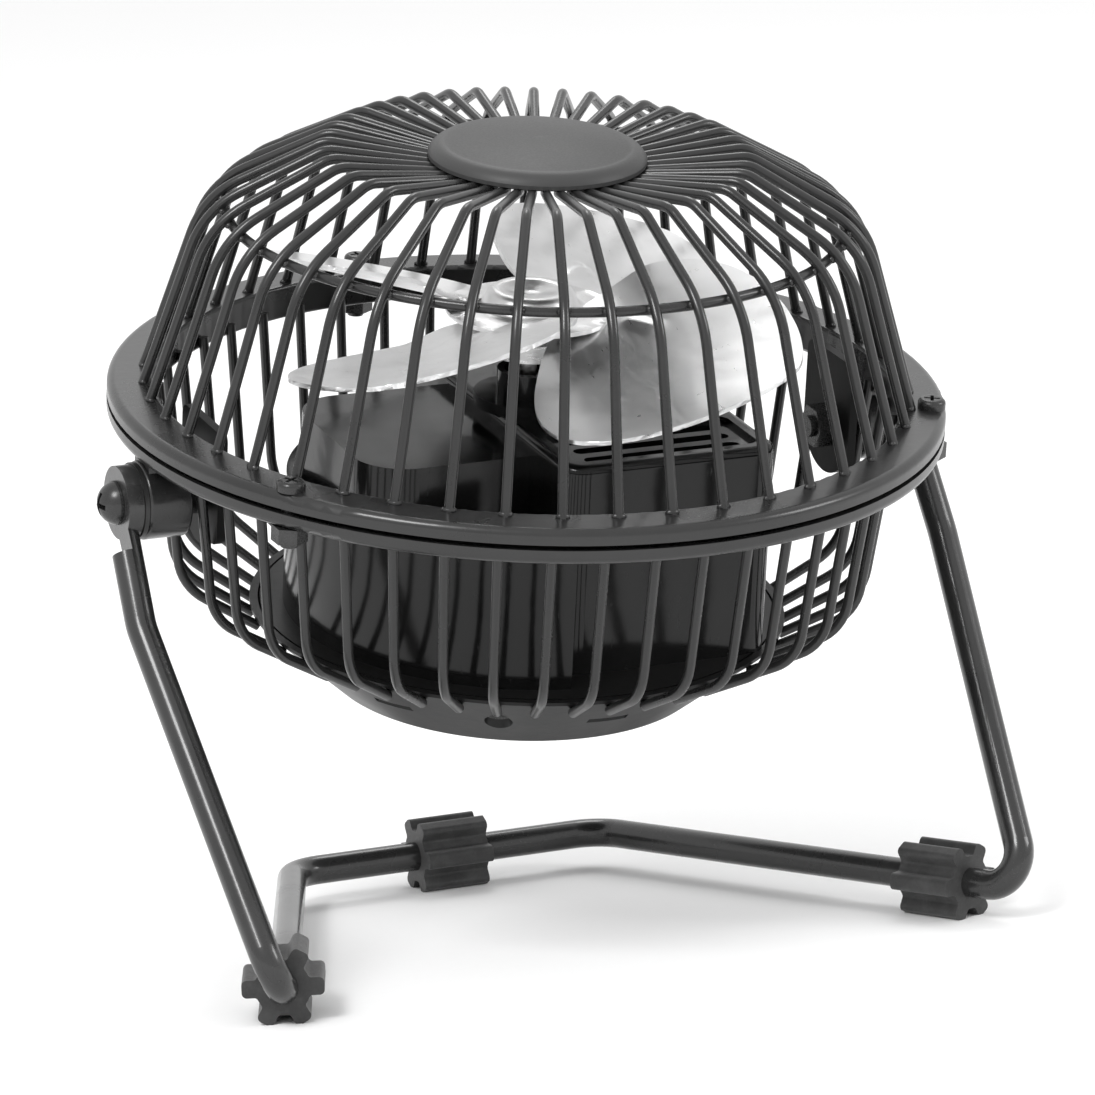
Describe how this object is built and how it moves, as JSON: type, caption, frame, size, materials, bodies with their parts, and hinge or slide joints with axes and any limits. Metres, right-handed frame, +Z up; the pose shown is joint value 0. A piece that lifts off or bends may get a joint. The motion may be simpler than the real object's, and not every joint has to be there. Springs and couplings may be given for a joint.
{
  "type": "desk fan",
  "caption": "Small tilting desk fan: a round wire guard with a metal blade wheel and motor housing inside, hung between the arms of a stand bent from one rod",
  "frame": {"origin": "on the floor under the middle of the whole fan's box", "axes": "+Z up; +X along the tilt pivot to the fan's left when it faces the user, which is the right-hand side in a front view; -Y is the front, +Y the rear"},
  "size_m": [0.1624, 0.1483, 0.1516],
  "materials": {
    "stand_paint": "satin charcoal powder coat",
    "guard_paint": "satin black powder coat",
    "foot_rubber": "matte moulded rubber",
    "housing_plastic": "glossy black moulding",
    "dish_paint": "satin black pressed steel",
    "badge_plastic": "satin dark grey moulding",
    "blade_metal": "bright rolled sheet",
    "screw_black": "black oxide screw",
    "plain_steel": "plain steel",
    "zinc_steel": "zinc plated",
    "washer_nylon": "black nylon",
    "bronze": "sintered bronze",
    "copper": "enamelled copper",
    "bobbin_nylon": "natural nylon",
    "switch_plastic": "black moulding"
  },
  "bodies": {
    "stand": {"stand_frame": "stand_paint", "foot_left": "foot_rubber", "foot_right": "foot_rubber", "foot_rear": "foot_rubber"},
    "head": {"pivot_bolt_left": "screw_black", "pivot_bolt_right": "screw_black", "friction_washer_left": "washer_nylon", "friction_washer_right": "washer_nylon", "pivot_boss_left": "guard_paint", "pivot_boss_right": "guard_paint", "pivot_bracket_left": "guard_paint", "pivot_bracket_right": "guard_paint", "pivot_nut_left": "screw_black", "pivot_nut_right": "screw_black", "front_rim": "guard_paint", "rear_rim": "guard_paint", "rim_screws": "screw_black", "rim_nuts": "screw_black", "front_guard_wires": "guard_paint", "front_guard_hoop": "guard_paint", "centre_plate": "guard_paint", "badge": "badge_plastic", "badge_screw": "zinc_steel", "rear_guard_wires": "guard_paint", "rear_dish": "dish_paint", "dish_screws": "screw_black", "motor_plate": "dish_paint", "motor_housing": "housing_plastic", "housing_shroud": "housing_plastic", "stator_core": "plain_steel", "shading_rings": "copper", "coil_bobbin": "bobbin_nylon", "coil": "copper", "thermal_fuse": "bobbin_nylon", "front_bearing_bracket": "zinc_steel", "rear_bearing_bracket": "zinc_steel", "front_bearing": "bronze", "rear_bearing": "bronze", "motor_screws": "zinc_steel", "motor_spacers": "zinc_steel", "motor_nuts": "zinc_steel", "switch_body": "switch_plastic", "cord_gland": "switch_plastic"},
    "rotor": {"blade_wheel": "blade_metal", "hub_collar": "zinc_steel", "set_screw": "screw_black", "shaft": "plain_steel", "rotor_core": "plain_steel", "front_thrust_washer": "washer_nylon", "rear_thrust_washer": "washer_nylon"},
    "rocker": {"switch_rocker": "switch_plastic"}
  },
  "joints": [
    {"name": "head_tilt", "type": "hinge", "parent": "stand", "child": "head", "pos_m": [0, 0.00252, 0.0863], "axis": [1, 0, 0], "range_deg": [-60, 90]},
    {"name": "blade_spin", "type": "hinge", "parent": "head", "child": "rotor", "pos_m": [0, -0.00385, 0.11367], "axis": [0, -0.2267, 0.974], "continuous": true},
    {"name": "switch_rock", "type": "hinge", "parent": "head", "child": "rocker", "pos_m": [0, 0.02538, 0.04983], "axis": [0, 0.974, 0.2267], "range_deg": [0, 16]}
  ]
}
